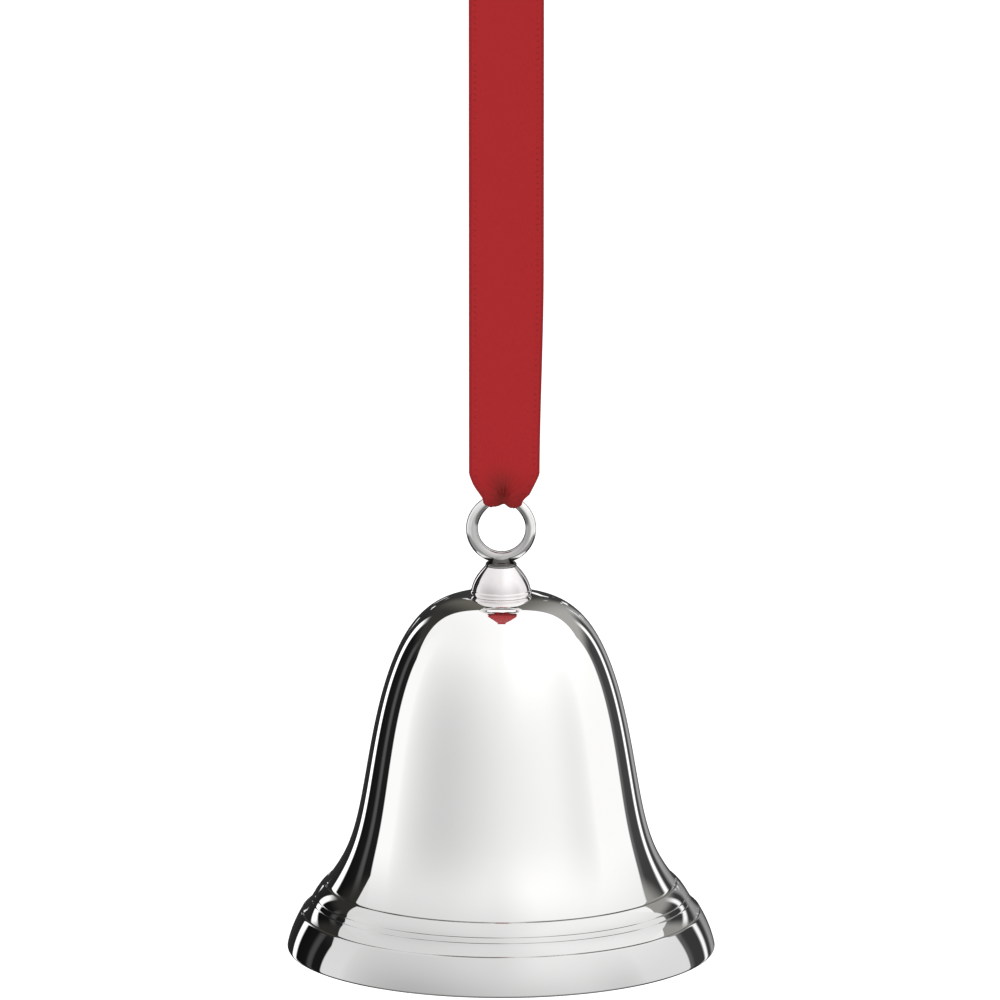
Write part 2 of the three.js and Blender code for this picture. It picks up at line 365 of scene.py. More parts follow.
def polished_silver():
    """Silver plate: mirror bright, with the faint swirl of the polishing mop. Towards the lip it is painted
    darker, a painted shade for the darker reflection there, and the creases of the moulding are painted
    black, a painted shade for their dark reflection lines."""
    material, n = new_material("polished_silver")
    where = n.object_place()
    swirl = n.noise(where, 90.0, 4.0, 0.6)
    haze = n.noise(where, 900.0, 2.0)
    height = height_above_rim(n, where)
    tone = n.mix(swirl, (0.955, 0.95, 0.942, 1), (0.978, 0.976, 0.97, 1))
    # Painted shade: the lower bell darkens towards the lip, standing in for its darker reflection.
    tone = n.mix(n.between(height, 6.0, 17.0, 0.85, 0.0), tone, (0.64, 0.64, 0.636, 1))
    patchy = n.between(n.noise(where, 62.0, 2.0), 0.5, 0.66, 0.04, 0.9)
    # Painted shade: a dark line painted along each crease stands in for its dark reflection.
    for crease, half_width in CREASES:
        moulding_crease_shade = n.math("ABSOLUTE", n.math("SUBTRACT", height, crease))
        moulding_crease_shade = n.between(moulding_crease_shade, half_width * 0.5, half_width, 1.0, 0.0)
        tone = n.mix(n.math("MULTIPLY", moulding_crease_shade, patchy), tone, (0.1, 0.098, 0.09, 1))
    roughness = n.between(swirl, 0.3, 0.75, 0.008, 0.025)
    n.surface(tone, roughness, n.bump(haze, 0.004, 0.00002), metallic=1.0)
    return material


NECK_GROOVE = KNOB_TOP + 0.95
RING_INSIDE = (4.08, 4.3)


def handled_silver(name, dark, light, neck_painted_shade=0.0, inner_painted_shade=None):
    """Small silver pieces, handled and a little less even than the spun bell. The groove between the ring
    and the knob is painted near black, a painted shade for the dark reflection and shade there, and the
    inside of the ring is painted greyer, a painted reflection of the ring's far side."""
    material, n = new_material(name)
    where = n.object_place()
    worn = n.noise(where, 260.0, 3.0, 0.6)
    fine = n.noise(where, 700.0, 2.0)
    tone = n.mix(n.between(worn, 0.35, 0.65), dark, light)
    height = height_above_rim(n, where)
    neck = n.math("ABSOLUTE", n.math("SUBTRACT", height, NECK_GROOVE))
    # Painted shade: the neck groove is painted near black, standing in for its dark reflection and shade.
    tone = n.mix(n.between(neck, 0.4, 0.7, neck_painted_shade, 0.0), tone, (0.04, 0.038, 0.036, 1))
    # Painted reflection: the ring's inner half is painted greyer, standing in for the duller reflection it
    # shows.
    if inner_painted_shade is not None:
        x = n.math("MULTIPLY", n.add("ShaderNodeSeparateXYZ", Vector=where).outputs["X"], 1 / MM)
        rise = n.math("SUBTRACT", height, RING_HEIGHT)
        reach = n.math("SQRT", n.math("ADD", n.math("POWER", x, 2.0), n.math("POWER", rise, 2.0)))
        reach = n.math("MULTIPLY_ADD", worn, 0.25, reach)
        tone = n.mix(n.between(reach, *RING_INSIDE, 0.85, 0.0), tone, inner_painted_shade)
    roughness = n.between(worn, 0.3, 0.7, 0.012, 0.045)
    n.surface(tone, roughness, n.bump(fine, 0.07, 0.00004), metallic=1.0)
    return material


def cast_silver():
    # The third colour, inside, is the painted reflection grey of the ring's inner half.
    dark, light, inside = (0.86, 0.855, 0.85, 1), (0.95, 0.945, 0.94, 1), (0.48, 0.475, 0.47, 1)
    return handled_silver("cast_silver", dark, light, neck_painted_shade=0.92, inner_painted_shade=inside)


def knob_silver():
    # Painted reflection: the knob's pinkish grey stands in for the pinkish grey reflected in it.
    return handled_silver("knob_silver", (0.8, 0.765, 0.77, 1), (0.87, 0.84, 0.845, 1))


def spun_silver():
    """The inside of the bell: plated over the fine turning marks of the spinning lathe."""
    material, n = new_material("spun_silver")
    where = n.object_place()
    z = n.add("ShaderNodeSeparateXYZ", Vector=where).outputs["Z"]
    rings = n.add("ShaderNodeCombineXYZ", X=n.math("ADD", z, n.from_axis(where)))
    marks = n.noise(rings.outputs[0], 2600.0, 3.0, 0.7)
    stain = n.noise(where, 60.0, 3.0)
    tone = n.mix(stain, (0.86, 0.85, 0.82, 1), (0.93, 0.925, 0.91, 1))
    roughness = n.between(marks, 0.3, 0.7, 0.16, 0.3)
    n.surface(tone, roughness, n.bump(marks, 0.25, 0.00003), metallic=1.0)
    return material


def turned_steel():
    """Zinc-bright steel for the washer and nut, with tool marks and a little dulling."""
    material, n = new_material("turned_steel")
    where = n.object_place()
    rings = n.add("ShaderNodeCombineXYZ", X=n.from_axis(where))
    marks = n.noise(rings.outputs[0], 5200.0, 2.0, 0.7)
    dull = n.noise(where, 420.0, 4.0)
    tone = n.mix(dull, (0.52, 0.53, 0.54, 1), (0.68, 0.69, 0.7, 1))
    roughness = n.between(dull, 0.3, 0.7, 0.22, 0.42)
    n.surface(tone, roughness, n.bump(marks, 0.3, 0.00002), metallic=1.0)
    return material


RIBBON_WIDTH = 9.85
WARP_PITCH = 0.11
WEFT_PITCH = 0.16
EDGE_INSET = 0.72
PICK_PITCH = 0.8
PLY_PITCH = 0.3


def satin_ribbon():
    """Red single-face satin. The cloth attribute gives a point's place on the flat ribbon in millimetres:
    across from the middle, along from the fold's bottom, and 1 on the satin face or 0 on the back."""
    material, n = new_material("satin_ribbon")
    flat = n.add("ShaderNodeAttribute", {"attribute_name": "cloth"}).outputs["Vector"]
    part = n.add("ShaderNodeSeparateXYZ", Vector=flat).outputs
    across, along, face = part["X"], part["Y"], part["Z"]
    from_edge = n.math("SUBTRACT", RIBBON_WIDTH / 2, n.math("ABSOLUTE", across))

    # Warp threads run along the ribbon, and each floats over a few wefts.
    warp = n.math("SINE", n.math("MULTIPLY", across, 2 * math.pi / WARP_PITCH))
    stretched = n.add("ShaderNodeMapping", {"vector_type": "POINT"}, Vector=flat)
    stretched.inputs["Scale"].default_value = (9.0, 1.2, 1.0)
    floats = n.noise(stretched.outputs[0], 1.0, 2.0, 0.6)
    weft = n.math("SINE", n.math("MULTIPLY", along, 2 * math.pi / WEFT_PITCH))
    weave = n.math("ADD", n.math("MULTIPLY", warp, 0.35), n.math("MULTIPLY", floats, 1.2))
    weave = n.math("ADD", weave, n.math("MULTIPLY", weft, 0.15))

    # The weft turns back at each edge: a corded border, and short slanting loops just inside it.
    border = n.between(from_edge, 0.2, 0.34, 1.0, 0.0)
    slant = n.math("MULTIPLY_ADD", n.math("ABSOLUTE", across), 0.25, along)
    tick = n.math("SINE", n.math("MULTIPLY", slant, 2 * math.pi / PICK_PITCH))
    tick = n.between(tick, 0.35, 0.85)
    row = n.math("ABSOLUTE", n.math("SUBTRACT", from_edge, EDGE_INSET))
    tick = n.math("MULTIPLY", tick, n.between(row, 0.1, 0.3, 1.0, 0.0))
    patchy = n.noise(flat, 0.35, 2.0)
    tick = n.math("MULTIPLY", tick, n.between(patchy, 0.4, 0.6, 0.35, 1.0))

    shade = n.noise(flat, 0.16, 3.0)
    red = n.mix(shade, (0.286, 0.0105, 0.0125, 1), (0.306, 0.012, 0.0143, 1))
    red = n.mix(n.between(floats, 0.3, 0.7), red, (0.32, 0.0135, 0.0165, 1))
    red = n.mix(n.between(face, 0.4, 0.6, 0.6, 0.0), red, (0.2, 0.011, 0.013, 1))
    red = n.mix(n.math("MULTIPLY", border, 0.55), red, (0.2, 0.008, 0.01, 1))
    red = n.mix(n.math("MULTIPLY", tick, 0.5), red, (0.16, 0.008, 0.01, 1))

    # Painted shade: dark creases fan out from the valley between the two pleats at the ring, and the
    # gathered cloth and the valley's left side are painted darker.
    up_from_fold = n.math("ABSOLUTE", along)
    fan = n.math("ARCTAN2", across, n.math("SUBTRACT", up_from_fold, 0.9))
    fan = n.math("MULTIPLY_ADD", n.math("SINE", n.math("MULTIPLY", fan, 5.0)), 0.05, fan)
    ribbon_crease_shade = n.math("ABSOLUTE", n.math("SINE", n.math("MULTIPLY", fan, 17.0)))
    ribbon_crease_shade = n.between(ribbon_crease_shade, 0.0, 0.45, 1.0, 0.0)
    gather = n.between(up_from_fold, 3.4, 5.9, 1.0, 0.0)
    gather = n.math("MULTIPLY", gather, n.between(n.math("ABSOLUTE", across), 1.6, 4.0, 1.0, 0.0))
    red = n.mix(n.math("MULTIPLY", n.math("MULTIPLY", ribbon_crease_shade, gather), 0.6), red, (0.12, 0.01, 0.008, 1))
    # Painted shade: the cloth darkens towards the fold, where the gather shades it.
    red = n.mix(n.between(up_from_fold, 1.2, 6.4, 0.6, 0.0), red, (0.15, 0.009, 0.008, 1))
    # Painted shade: the left side of the valley between the pleats, turned from the light, is painted
    # darkest.
    middle = n.between(n.math("ABSOLUTE", n.math("ADD", across, 0.7)), 0.2, 2.8, 1.0, 0.0)
    fold_shade_strength = n.between(up_from_fold, 2.0, 7.5, 0.55, 0.0)
    red = n.mix(n.math("MULTIPLY", middle, fold_shade_strength), red, (0.11, 0.012, 0.008, 1))

    height = n.math("ADD", weave, n.math("MULTIPLY", border, 2.5))
    height = n.math("SUBTRACT", height, n.math("MULTIPLY", tick, 2.5))
    shader = n.surface(red, n.between(floats, 0.2, 0.8, 0.5, 0.64), n.bump(height, 0.5, 0.00002))
    shader.inputs["Specular IOR Level"].default_value = 0.12
    shader.inputs["Sheen Weight"].default_value = 0.02
    shader.inputs["Sheen Roughness"].default_value = 0.4
    shader.inputs["Sheen Tint"].default_value = (1.0, 0.45, 0.42, 1.0)
    return material


def sewing_thread():
    """Matching red thread, of two twisted plies."""
    material, n = new_material("sewing_thread")
    twist = n.add("ShaderNodeAttribute", {"attribute_name": "cloth"}).outputs["Vector"]
    part = n.add("ShaderNodeSeparateXYZ", Vector=twist).outputs
    ply = n.math("SINE", n.math("MULTIPLY", n.math("ADD", part["X"], part["Y"]), 2 * math.pi / PLY_PITCH))
    fuzz = n.noise(twist, 6.0, 3.0)
    red = n.mix(n.between(ply, -1, 1), (0.2, 0.009, 0.011, 1), (0.36, 0.02, 0.024, 1))
    shader = n.surface(red, n.between(fuzz, 0.3, 0.7, 0.6, 0.85), n.bump(ply, 0.6, 0.00003))
    shader.inputs["Sheen Weight"].default_value = 0.2
    return material


# ---- Mesh helpers ----
def mesh_piece(name, points, faces, *materials, sharp=None):
    """points are (x, y, height) in millimetres."""
    mesh = bpy.data.meshes.new(name)
    mesh.from_pydata([place(*point) for point in points], [], faces)
    mesh.polygons.foreach_set("use_smooth", [True] * len(mesh.polygons))
    if sharp is not None:
        mesh.set_sharp_from_angle(angle=math.radians(sharp))
    for material in materials:
        mesh.materials.append(material)
    mesh.update()
    piece = bpy.data.objects.new(name, mesh)
    bpy.context.scene.collection.objects.link(piece)
    return piece


def bend(a, b, c, steps):
    """A curve from a to c that b pulls on."""
    return [
        tuple((1 - t) ** 2 * p + 2 * t * (1 - t) * q + t * t * r for p, q, r in zip(a, b, c))
        for t in (i / steps for i in range(steps + 1))
    ]


def sweep(a, b, c, d, steps):
    """A curve from a to d that b and c pull on."""
    return [
        tuple(
            (1 - t) ** 3 * p + 3 * t * (1 - t) ** 2 * q + 3 * t * t * (1 - t) * r + t**3 * s
            for p, q, r, s in zip(a, b, c, d)
        )
        for t in (i / steps for i in range(steps + 1))
    ]


def along(*stretches):
    """The stretches one after the other, each shared end once."""
    points = []
    for stretch in stretches:
        points.extend(stretch[1:] if points and math.dist(points[-1], stretch[0]) < 1e-6 else stretch)
    return points


def skin(rows, count, closed=True):
    """The quads between rows of count points each. The last row joins the first when closed."""
    faces = []
    for i in range(rows if closed else rows - 1):
        here, there = i * count, (i + 1) % rows * count
        for j in range(count):
            k = (j + 1) % count
            faces.append((here + j, here + k, there + k, there + j))
    return faces


def skin_of_turning(sides, count):
    """The same for a profile turned counter-clockwise, whose quads face the other way."""
    return [(a, d, c, b) for a, b, c, d in skin(sides, count)]


def turned(name, profile, *materials, sides=96, sharp=30, split=None):
    """A closed profile of (radius, height) points, counter-clockwise, turned round the bell's axis.
    From profile point split on, faces take the second material."""
    count = len(profile)
    points = []
    for i in range(sides):
        angle = 2 * math.pi * i / sides
        points += [(r * math.cos(angle), r * math.sin(angle), h) for r, h in profile]
    piece = mesh_piece(name, points, skin_of_turning(sides, count), *materials, sharp=sharp)
    second = [int(split is not None and j >= split) for j in range(count)] * sides
    piece.data.polygons.foreach_set("material_index", second)
    return piece


def swept(name, spine, frames, sections, *materials, closed=False, sharp=None):
    """A closed section carried along a spine: frames are its two unit axes at each point, and sections its
    outline in those axes. Open ends are closed with a face."""
    points = []
    for centre, (u, v), section in zip(spine, frames, sections):
        points += [tuple(c + a * p + b * q for c, p, q in zip(centre, u, v)) for a, b in section]
    count, steps = len(sections[0]), len(spine)
    faces = skin(steps, count, closed)
    if not closed:
        faces.append(tuple(reversed(range(count))))
        faces.append(tuple(range((steps - 1) * count, steps * count)))
    return mesh_piece(name, points, faces, *materials, sharp=sharp)


def circle(radius, sides):
    angles = [2 * math.pi * i / sides for i in range(sides)]
    return [(radius * math.cos(a), radius * math.sin(a)) for a in angles]


def keep_places(piece, places):
    """Each point's place on the flat cloth, for the material."""
    attribute = piece.data.attributes.new("cloth", "FLOAT_VECTOR", "POINT")
    attribute.data.foreach_set("vector", [number for place_ in places for number in place_])


def united(name, pieces, sharp=30):
    """The pieces as one closed body."""
    first, *rest = pieces
    for other in rest:
        union = first.modifiers.new("union", "BOOLEAN")
        union.operation = "UNION"
        union.solver = "EXACT"
        union.object = other
    bpy.context.view_layer.update()
    evaluated = first.evaluated_get(bpy.context.evaluated_depsgraph_get())
    mesh = bpy.data.meshes.new_from_object(evaluated)
    mesh.name = name
    for piece in pieces:
        bpy.data.objects.remove(piece)
    mesh.polygons.foreach_set("use_smooth", [True] * len(mesh.polygons))
    mesh.set_sharp_from_angle(angle=math.radians(sharp))
    whole = bpy.data.objects.new(name, mesh)
    bpy.context.scene.collection.objects.link(whole)
    return whole


def stands_for(piece, body, slot, *nodes):
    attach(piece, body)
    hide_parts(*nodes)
    return piece


# ---- The bell ----
CROWN_HOLE = 1.3
CROWN_FLAT = 4.1
WALL = 1.0


def shell_outside():
    """From the rim up: edge, flared lip, cove, fillet, bead, the sweep to the waist, shoulder and crown."""
    lip_bottom, lip_top = (MOUTH_RADIUS, 0.3), (27.15, 5.1)
    cove_bottom, cove_top = (27.0, 5.14), (25.78, 6.68)
    fillet_bottom, fillet_top = (25.72, 6.72), (25.38, 7.36)
    bead_bottom, bead_top, sweep_start = (25.3, 7.42), (23.95, 9.05), (23.74, 9.13)
    waist, shoulder, crown = (19.5, 18.5), (15.36, 37.95), (CROWN_FLAT, CROWN_HEIGHT)
    return along(
        bend((MOUTH_RADIUS - 0.25, 0), (MOUTH_RADIUS, 0), lip_bottom, 6),
        bend(lip_bottom, (28.65, 2.55), lip_top, 24),
        bend(lip_top, (27.09, 5.12), cove_bottom, 4),
        bend(cove_bottom, (26.2, 5.85), cove_top, 16),
        bend(cove_top, (25.76, 6.7), fillet_bottom, 3),
        bend(fillet_bottom, (25.56, 7.04), fillet_top, 6),
        bend(fillet_top, (25.36, 7.39), bead_bottom, 3),
        bend(bead_bottom, (24.85, 8.3), bead_top, 20),
        bend(bead_top, (23.87, 9.07), sweep_start, 4),
        sweep(sweep_start, (21.6, 12.0), (20.5, 14.15), waist, 36),
        sweep(waist, (18.3, 23.7), (17.55, 31.4), shoulder, 32),
        sweep(shoulder, (13.55, 43.3), (10.8, 48.75), crown, 40),
        [crown, (CROWN_HOLE, CROWN_HEIGHT)],
    )


def shell_inside():
    """From the crown's hole down to the rim."""
    crown, shoulder = (CROWN_FLAT, CROWN_HEIGHT - WALL), (14.36, 37.75)
    waist, bow = (18.5, 18.3), (23.0, 8.6)
    return along(
        [(CROWN_HOLE, CROWN_HEIGHT - WALL), crown],
        sweep(crown, (10.2, 47.8), (12.6, 42.9), shoulder, 24),
        sweep(shoulder, (16.55, 31.2), (17.3, 23.6), waist, 20),
        sweep(waist, (19.5, 13.9), (21.2, 11.2), bow, 20),
        bend(bow, (25.4, 5.2), (27.9, 0), 16),
    )


def make_shell(silver, inside):
    outside = shell_outside()
    profile = outside + shell_inside()
    shell = turned("bell_body", profile, silver, inside, sides=256, sharp=50, split=len(outside))
    return stands_for(shell, "bell", "silver", "bell_shell")


def make_knob(silver):
    """A domed cone that stands on a low foot bead."""
    bottom, top_height, bore = CROWN_HEIGHT + 0.02, KNOB_TOP + 0.25, 1.05
    bead, foot, top = (4.12, KNOB_BASE + 0.42), (4.0, KNOB_BASE + 0.55), (2.15, top_height)
    outside = along(
        bend((3.95, bottom), (4.28, KNOB_BASE + 0.1), bead, 8),
        bend(bead, (4.05, KNOB_BASE + 0.52), foot, 4),
        bend(foot, (3.75, KNOB_BASE + 2.1), top, 24),
    )
    knob = turned("domed_knob", outside + [(bore, top_height), (bore, bottom)], silver, sides=128, sharp=40)
    return stands_for(knob, "bell", "silver", "crown_knob")


RING_WIRE = 0.78
RING_UNEVEN = 0.05
RING_WEAR = 0.2


def wire_radius(angle):
    """The cast ring's wire is thinner at the top, where the ribbon has worn it, and thicker on the left.
    The angle is counted from the top, to the right."""
    worn = RING_WEAR * max(0.0, math.cos(angle)) ** 6
    return RING_WIRE - worn + RING_UNEVEN * math.sin(-angle - 0.6)


def ring_centre_line(angle):
    """The place on the ring's wire at an angle from the top, to the right."""
    radius = RING_OUTER - wire_radius(angle)
    return radius * math.sin(angle), 0.0, RING_HEIGHT + radius * math.cos(angle)


def make_ring(silver):
    steps = 160
    angles = [2 * math.pi * i / steps for i in range(steps)]
    spine = [ring_centre_line(a) for a in angles]
    frames = [((math.sin(a), 0, math.cos(a)), (0, 1, 0)) for a in angles]
    sections = [circle(wire_radius(a), 32) for a in angles]
    wire = swept("wire", spine, frames, sections, silver, closed=True)
    neck_base, core = KNOB_TOP + 0.3, 0.4
    foot, rounding, collar = (2.0, neck_base), (2.12, neck_base + 0.16), (1.9, neck_base + 0.45)
    flare_top = (1.22, neck_base + 1.35)
    neck = turned(
        "neck",
        along(
            [(core, neck_base), foot],
            bend(foot, (2.12, neck_base), rounding, 4),
            bend(rounding, (2.1, neck_base + 0.35), collar, 5),
            bend(collar, (1.35, neck_base + 0.62), flare_top, 10),
            [flare_top, (core, flare_top[1])],
        ),
        silver,
    )
    shank = turned("shank", shank_profile(neck_base), silver, sides=48)
    ring = united("cast_ring", [wire, neck, shank], sharp=35)
    return stands_for(ring, "bell", "silver", "hanging_ring")


def shank_profile(top):
    """The threaded shank, as rings of thread. It ends inside the ring's neck."""
    pitch, crest, root, core, into_neck = 0.4, 1.0, 0.82, 0.35, 0.3
    turns = int((top - SHANK_END) / pitch)
    points = [(core, SHANK_END), (root, SHANK_END)]
    for i in range(turns):
        base = SHANK_END + 0.1 + i * pitch
        points += [(crest, base + 0.25 * pitch), (crest, base + 0.4 * pitch), (root, base + 0.75 * pitch)]
    return points + [(root, top + into_neck), (core, top + into_neck)]


# ---- Under the crown ----
def make_washer(steel):
    bore, radius, edge = 1.1, 3.0, 0.08
    low, high = WASHER_BOTTOM, WASHER_TOP
    profile = along(
        [(bore, low), (radius - edge, low)],
        bend((radius - edge, low), (radius, low), (radius, low + edge), 3),
        bend((radius, high - edge), (radius, high), (radius - edge, high), 3),
        [(radius - edge, high), (bore, high)],
    )
    washer = turned("washer", profile, steel, sides=64)
    return stands_for(washer, "bell", "steel", "crown_washer")


def make_nut(steel):
    """A hexagon with its corners chamfered, top and bottom."""
    flats, sides, bore = 2.0, 96, 1.06
    chamfer, bore_chamfer = 0.22, 0.15
    end_radius, corner_radius = flats * 0.99, flats / math.cos(math.pi / 6)
    rows = [
        (end_radius, NUT_BOTTOM),
        (corner_radius, NUT_BOTTOM + chamfer),
        (corner_radius, NUT_TOP - chamfer),
        (end_radius, NUT_TOP),
        (bore + bore_chamfer, NUT_TOP),
        (bore, NUT_TOP - bore_chamfer),
        (bore, NUT_BOTTOM + bore_chamfer),
        (bore + bore_chamfer, NUT_BOTTOM),
    ]
    points = []
    for i in range(sides):
        angle = 2 * math.pi * i / sides
        toward_flat = (angle + math.pi / 6) % (math.pi / 3) - math.pi / 6
        hexagon = flats / math.cos(toward_flat)
        cut = [(min(r, hexagon), h) for r, h in rows]
        points += [(r * math.cos(angle), r * math.sin(angle), h) for r, h in cut]
    nut = mesh_piece("hex_nut", points, skin_of_turning(sides, len(rows)), steel, sharp=25)
    return stands_for(nut, "bell", "steel", "lock_nut")


def wire_loop(name, radius, wire, height, material, along_x=False, opening=0.0):
    """A ring of round wire that stands upright. opening is the cut at its top, in degrees."""
    steps = 72
    start = math.radians(opening / 2)
    span = 2 * math.pi - 2 * start
    count = steps + 1 if opening else steps
    angles = [start + span * i / steps for i in range(count)]

    def turn(a):
        side, up = math.sin(a), math.cos(a)
        return (0, side, up) if along_x else (side, 0, up)

    spine = [(radius * x, radius * y, radius * z + height) for x, y, z in map(turn, angles)]
    frames = [((1, 0, 0), turn(a)) if along_x else (turn(a), (0, 1, 0)) for a in angles]
    return swept(name, spine, frames, [circle(wire, 20)] * count, material, closed=not opening, sharp=50)


def make_eye(silver):
    """The cap on the shank's end, with the eye under it."""
    low, high, bore_end = EYE_CAP_TOP - 2.0, EYE_CAP_TOP, SHANK_END - 0.1
    radius, edge, core, bore = 2.0, 0.35, 0.3, 1.08
    cap = turned(
        "cap",
        along(
            [(core, low), (1.2, low)],
            bend((1.2, low), (radius, low), (radius, low + 0.7), 8),
            bend((radius, high - edge), (radius, high), (radius - edge, high), 5),
            [(radius - edge, high), (bore, high), (bore, bore_end), (core, bore_end)],
        ),
        silver,
        sides=64,
    )
    eye_radius, eye_wire = 1.5, 0.4
    eye = wire_loop("eye", eye_radius, eye_wire, EYE_BOTTOM + (eye_radius + eye_wire), silver)
    whole = united("eye_cap", [cap, eye], sharp=35)
    return stands_for(whole, "bell", "silver", "clapper_eye")


# ---- The clapper ----
def make_jump_ring(silver):
    radius, wire = 1.6, 0.35
    middle = (JUMP_TOP + JUMP_BOTTOM) / 2
    ring = wire_loop("split_jump_ring", radius, wire, middle, silver, along_x=True, opening=5)
    return stands_for(ring, "jump_ring", "silver", "jump_ring")


def make_stem(silver):
    """The clapper's wire: its loop, the tail wound round it below, and the head upset under the ball."""
    loop_wire, loop_radius, stem = 0.35, 1.3, 0.42
    loop_height = STEM_TOP - loop_wire - loop_radius
    loop = wire_loop("loop", loop_radius, loop_wire, loop_height, silver)
    head, core, low, high = 1.2, 0.12, STEM_BOTTOM, BALL_BOTTOM - 0.3
    neck = loop_height - loop_radius
    rod = turned(
        "rod",
        along(
            [(core, low), (0.6, low)],
            bend((0.6, low), (head, low), (head, high - 0.1), 6),
            bend((head, high - 0.1), (head, high), (1.05, high), 3),
            [(1.05, high), (stem, high + 0.12), (stem, neck + 0.1), (core, neck + 0.1)],
        ),
        silver,
        sides=40,
    )
    coil_turns, per_turn, pitch, coil_wire = 4, 24, 0.44, 0.21
    steps = coil_turns * per_turn
    around = stem + 0.2
    angles = [2 * math.pi * i / per_turn for i in range(steps + 1)]
    spine = [
        (around * math.cos(a), around * math.sin(a), neck - 0.15 - pitch * i / per_turn)
        for i, a in enumerate(angles)
    ]
    frames = [((math.cos(a), math.sin(a), 0), (0, 0, 1)) for a in angles]
    coil = swept("coil", spine, frames, [circle(coil_wire, 10)] * (steps + 1), silver)
    stem_piece = united("clapper_wire", [rod, loop, coil], sharp=35)
    return stands_for(stem_piece, "clapper", "silver", "clapper_stem")


def make_ball(silver):
    """A turned ball with a bore for the wire."""
    radius, middle, bore = (BALL_TOP - BALL_BOTTOM) / 2, (BALL_TOP + BALL_BOTTOM) / 2, 0.62
    lean = math.asin(bore / radius)
    steps = 48
    outside = []
    for i in range(steps + 1):
        angle = -math.pi / 2 + lean + (math.pi - 2 * lean) * i / steps
        outside.append((radius * math.cos(angle), middle + radius * math.sin(angle)))
    ball = turned("clapper_bead", outside, silver, sides=96, sharp=40)
    return stands_for(ball, "clapper", "silver", "clapper_ball")


# ---- The ribbon ----
# Lengths run along the flat ribbon from the fold's bottom. Rises go up from the middle of the ring's wire.
CLOTH = 0.2
CORDED = 0.35
UPPER_SHIFT = 0.7
FOLD_SHIFT = 0.45
WIRE_GAP = 0.06
LOBE = 0.26
VALLEY_DEPTH = 0.22
CREASE_DEPTH = 0.16
BOW = 0.1
WAVE = 0.25
RIGHT_EDGE_DRIFT = 0.55
FOLD_SPREAD = (0.36, 0.58)
FOLD_RISE = (-1.3, 0.9)
GATHER_HEIGHT = 3.6
QUARTER = 1.6
JOIN = 3.4
STRAND_HALF_GAP = 1.0
TOP_HALF_GAP = 0.24


def smooth(value, low=0.0, high=1.0):
    t = min(1.0, max(0.0, (value - low) / (high - low)))
    return t * t * (3 - 2 * t)


def mixed(share, a, b):
    return a + (b - a) * share


def half_spread(rise):
    """How much of its full width the ribbon keeps: little in the fold, and all of it above the shoulders."""
    under = mixed(smooth(rise, *FOLD_RISE), *FOLD_SPREAD)
    if rise <= FOLD_RISE[1]:
        return under
    t = min(1.0, (rise - FOLD_RISE[1]) / (GATHER_HEIGHT - FOLD_RISE[1]))
    rounded = t + (0.75 * t - 0.4 * (1 - t)) * t * (1 - t)
    return mixed(rounded, under, 1.0)


def lobe(u):
    """The two soft pleats, with a valley between them. u goes from -1 to 1 across the ribbon."""
    return smooth(abs(u), 0.0, 0.5) * (1 - 0.8 * smooth(abs(u), 0.6, 1.0))


def ribbon_point(u, length):
    """The middle of the cloth at u across and length along, negative in front, from the fold's bottom."""
    side = -1 if length < 0 else 1
    run = abs(length)
    rise = run - QUARTER
    angle = min(1.0, run / QUARTER) * math.pi / 2
    level = rise if rise > 0 else -math.cos(angle)
    opened = smooth(rise, 0.0, GATHER_HEIGHT)

    x = u * RIBBON_WIDTH / 2 * half_spread(level)
    x += mixed(opened, FOLD_SHIFT, UPPER_SHIFT)
    x -= RIGHT_EDGE_DRIFT * max(0.0, u) * (1 - smooth(rise, 2, 32))

    around = math.asin(max(-0.95, min(0.95, x / (RING_OUTER - RING_WIRE))))
    wire_z = ring_centre_line(around)[2]
    reach = wire_radius(around) + WIRE_GAP + CLOTH / 2 + LOBE * lobe(u)
    depth = reach + VALLEY_DEPTH * (1 - lobe(u))
    bulge = lobe(u) * (1 - opened) * smooth(rise, -1.2, 1.6)
    turn = math.atan2(u * 4.9, rise + 0.8)
    crease = (1 - abs(math.sin(9 * turn + 0.6 * math.sin(3 * turn)))) ** 3
    bulge -= CREASE_DEPTH * crease * (1 - opened) * smooth(rise, -0.2, 1.2)

    if rise <= 0:
        y = side * (depth * math.sin(angle) + bulge)
        height = wire_z - reach * math.cos(angle)
    else:
        top = ring_centre_line(0)[2]
        height = top + rise - (top - wire_z) * (1 - opened)
        flat = mixed(smooth(rise, 6, 68), STRAND_HALF_GAP, TOP_HALF_GAP)
        bow = BOW * (1 - u * u) * smooth(rise, 4, 12)
        y = side * (mixed(opened, depth, flat) + bulge + bow)
    wave = noise.noise(Vector((0.3 * u, 0.045 * length, 3.7)))
    y += WAVE * wave * smooth(rise, 6, 16) * (1 - smooth(rise, 60, 69))
    return Vector((x, y, height))


def column_places(columns):
    """Places across the cloth from -1 to 1, closer together towards its edges."""
    crowding = 0.35
    even = [2 * i / columns - 1 for i in range(columns + 1)]
    return [math.sin(math.pi / 2 * u) * crowding + (1 - crowding) * u for u in even]


